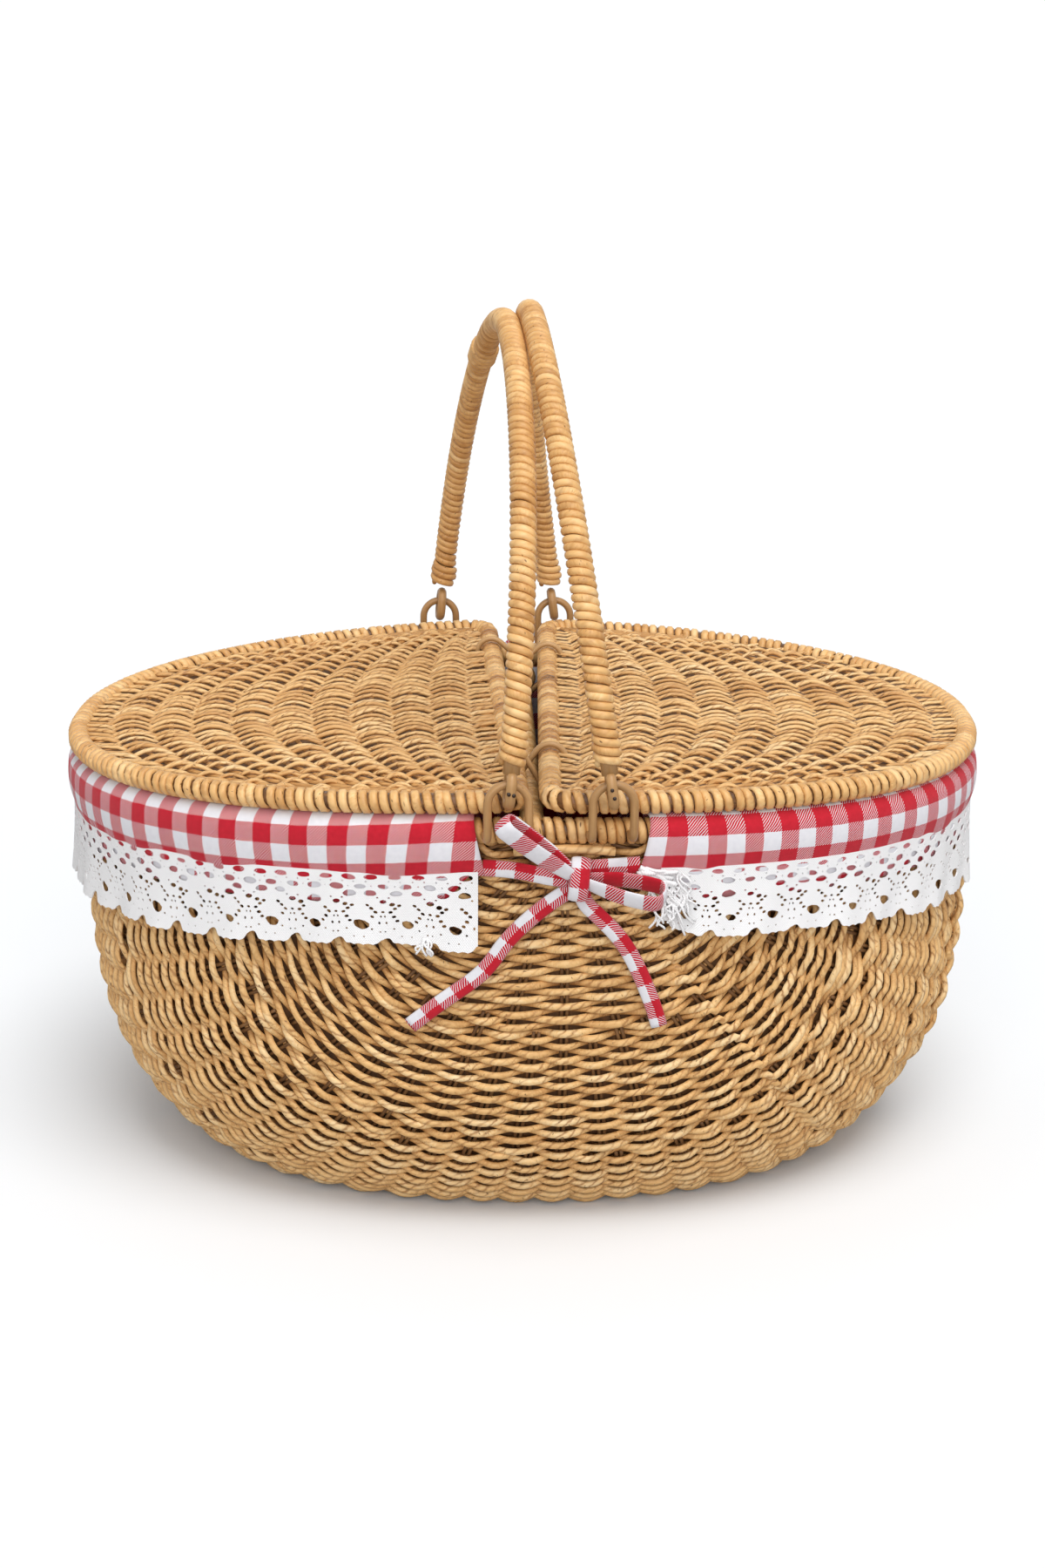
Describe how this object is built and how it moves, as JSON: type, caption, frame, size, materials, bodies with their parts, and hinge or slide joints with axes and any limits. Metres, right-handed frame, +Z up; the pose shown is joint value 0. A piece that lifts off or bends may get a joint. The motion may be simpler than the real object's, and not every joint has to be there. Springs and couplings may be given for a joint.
{
  "type": "picnic basket",
  "caption": "Oval woven willow basket with two hinged lids, twin cane-wrapped swing handles and a gingham liner whose cuff is edged with lace and tied in a bow.",
  "frame": {"origin": "on the floor under the middle of the basket", "axes": "+X along the basket to the right lid, -Y the front with the bow in the picture, +Z up"},
  "size_m": [0.4699, 0.3812, 0.4365],
  "materials": {
    "willow_weave": "peeled willow, satin varnish",
    "wrapped_cane": "cane wound edge to edge, satin varnish",
    "bare_cane": "bent cane, darker, satin varnish",
    "gingham": "red and white woven check cotton",
    "lace_cotton": "white cotton lace",
    "liner_cotton": "red and white woven check cotton"
  },
  "bodies": {
    "basket": {"body_weave": "willow_weave", "rim_hoop": "wrapped_cane", "centre_bar": "wrapped_cane", "front_left_staple": "bare_cane", "front_right_staple": "bare_cane", "back_right_staple": "bare_cane", "back_left_staple": "bare_cane", "left_front_hinge_loop": "bare_cane", "left_back_hinge_loop": "bare_cane", "right_front_hinge_loop": "bare_cane", "right_back_hinge_loop": "bare_cane", "liner_bag": "liner_cotton", "left_cuff": "gingham", "right_cuff": "gingham", "left_lace": "lace_cotton", "right_lace": "lace_cotton", "front_bow_knot": "gingham", "front_left_tie": "gingham", "front_left_bow_loop": "gingham", "front_left_bow_tail": "gingham", "front_right_tie": "gingham", "front_right_bow_loop": "gingham", "front_right_bow_tail": "gingham", "back_bow_knot": "gingham", "back_right_tie": "gingham", "back_right_bow_loop": "gingham", "back_right_bow_tail": "gingham", "back_left_tie": "gingham", "back_left_bow_loop": "gingham", "back_left_bow_tail": "gingham"},
    "left_lid": {"left_lid_frame": "wrapped_cane", "left_lid_weave": "willow_weave"},
    "right_lid": {"right_lid_frame": "wrapped_cane", "right_lid_weave": "willow_weave"},
    "left_handle": {"left_handle_core": "bare_cane", "left_handle_front_wrap": "wrapped_cane", "left_handle_back_wrap": "wrapped_cane"},
    "right_handle": {"right_handle_core": "bare_cane", "right_handle_front_wrap": "wrapped_cane", "right_handle_back_wrap": "wrapped_cane"}
  },
  "joints": [
    {"name": "left_lid_hinge", "type": "hinge", "parent": "basket", "child": "left_lid", "pos_m": [-0.01125, 0, 0.2277], "axis": [-0.0566, 0.9984, 0], "range_deg": [0, 75]},
    {"name": "right_lid_hinge", "type": "hinge", "parent": "basket", "child": "right_lid", "pos_m": [0.0135, 0, 0.2277], "axis": [-0.0029, -1, 0], "range_deg": [0, 75]},
    {"name": "left_handle_swing", "type": "hinge", "parent": "basket", "child": "left_handle", "pos_m": [-0.0275, 0, 0.2312], "axis": [0.1152, -0.9933, 0], "range_deg": [0, 94]},
    {"name": "right_handle_swing", "type": "hinge", "parent": "basket", "child": "right_handle", "pos_m": [0.03, 0, 0.2312], "axis": [-0.0634, 0.998, 0], "range_deg": [0, 96]}
  ]
}
